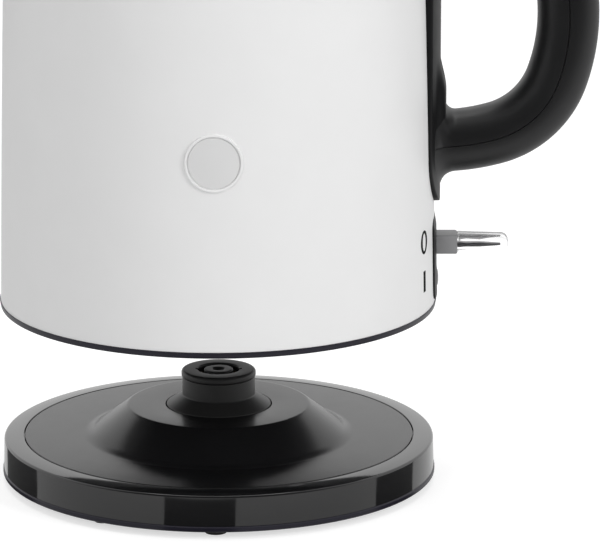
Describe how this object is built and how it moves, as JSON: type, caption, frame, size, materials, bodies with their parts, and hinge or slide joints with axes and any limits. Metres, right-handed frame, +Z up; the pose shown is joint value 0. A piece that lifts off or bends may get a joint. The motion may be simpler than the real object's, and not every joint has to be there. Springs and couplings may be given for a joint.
{
  "type": "cordless jug kettle",
  "caption": "Cordless jug kettle with a D-handle, hinged lid and on-off lever, lifted above the round swivel power base that it docks on.",
  "frame": {"origin": "on the kettle's upright axis, at the table that the base's feet stand on", "axes": "+Z up, +X from the axis to the handle, +Y to the back of the base where the cord leaves"},
  "size_m": [0.2301, 0.1566, 0.2477],
  "materials": {
    "white_plastic": "satin",
    "badge_plastic": "satin",
    "trim_plastic": "matt",
    "satin_black": "satin",
    "button_plastic": "satin",
    "spout_plastic": "satin",
    "gloss_black": "gloss",
    "disc_plastic": "satin",
    "connector_plastic": "satin",
    "inner_plastic": "matt",
    "steel": "brushed",
    "element_metal": "as cast",
    "contact_metal": "plain",
    "soft_rubber": "matt",
    "gauge_clear": "clear, tinted",
    "lens_plastic": "translucent",
    "grey_plastic": "matt",
    "clear_plastic": "clear"
  },
  "bodies": {
    "kettle": {"body_shell": "white_plastic", "bottom_trim_ring": "trim_plastic", "underside_cover": "inner_plastic", "underside_screws": "steel", "control_unit": "inner_plastic", "socket_contacts": "contact_metal", "heating_plate": "steel", "heating_element": "element_metal", "plate_seal": "soft_rubber", "steam_tube": "inner_plastic", "spout": "spout_plastic", "strainer": "inner_plastic", "top_collar": "satin_black", "lid_hinge_pin": "steel", "handle_backplate": "satin_black", "handle_inner_shell": "satin_black", "handle_outer_shell": "satin_black", "handle_screws": "steel", "gauge_window": "gauge_clear", "switch_bezel": "satin_black", "indicator_lens": "lens_plastic", "switch_pivot_pin": "steel", "front_badge": "badge_plastic"},
    "connector": {"connector_post": "connector_plastic", "connector_cap": "connector_plastic", "connector_ring_contact": "contact_metal", "connector_centre_contact": "contact_metal"},
    "power_base": {"base_ring": "gloss_black", "base_top_plate": "disc_plastic", "base_bottom_plate": "trim_plastic", "base_feet": "soft_rubber", "base_screws": "steel", "cord_clamp": "inner_plastic"},
    "lid": {"lid_cover": "satin_black", "lid_inner_plate": "inner_plastic", "lid_seal": "soft_rubber", "button_spring": "steel"},
    "lid_button": {"lid_button": "button_plastic"},
    "latch": {"latch_bolt": "inner_plastic"},
    "switch": {"switch_lever": "inner_plastic", "lever_collar": "grey_plastic", "lever_tip": "clear_plastic"}
  },
  "joints": [
    {"name": "dock_slide", "type": "slide", "parent": "kettle", "child": "connector", "axis": [0, 0, 1], "range_m": [0, 0.0485]},
    {"name": "base_swivel", "type": "hinge", "parent": "connector", "child": "power_base", "pos_m": [0, 0, 0.0268], "axis": [0, 0, 1], "continuous": true},
    {"name": "lid_hinge", "type": "hinge", "parent": "kettle", "child": "lid", "pos_m": [0.0705, 0, 0.2398], "axis": [0, 1, 0], "range_deg": [0, 85]},
    {"name": "button_press", "type": "slide", "parent": "lid", "child": "lid_button", "axis": [0, 0, -1], "range_m": [0, 0.0025], "stiffness_N_per_m": 300, "springref_m": -0.002, "deforming": ["button_spring"]},
    {"name": "latch_slide", "type": "slide", "parent": "lid", "child": "latch", "axis": [1, 0, 0], "range_m": [0, 0.0025]},
    {"name": "switch_swing", "type": "hinge", "parent": "kettle", "child": "switch", "pos_m": [0.052, 0, 0.0868], "axis": [0, 1, 0], "range_deg": [0, 11]}
  ],
  "couplings": [
    {"joint": "latch_slide", "follows": "button_press", "ratio": 1}
  ]
}
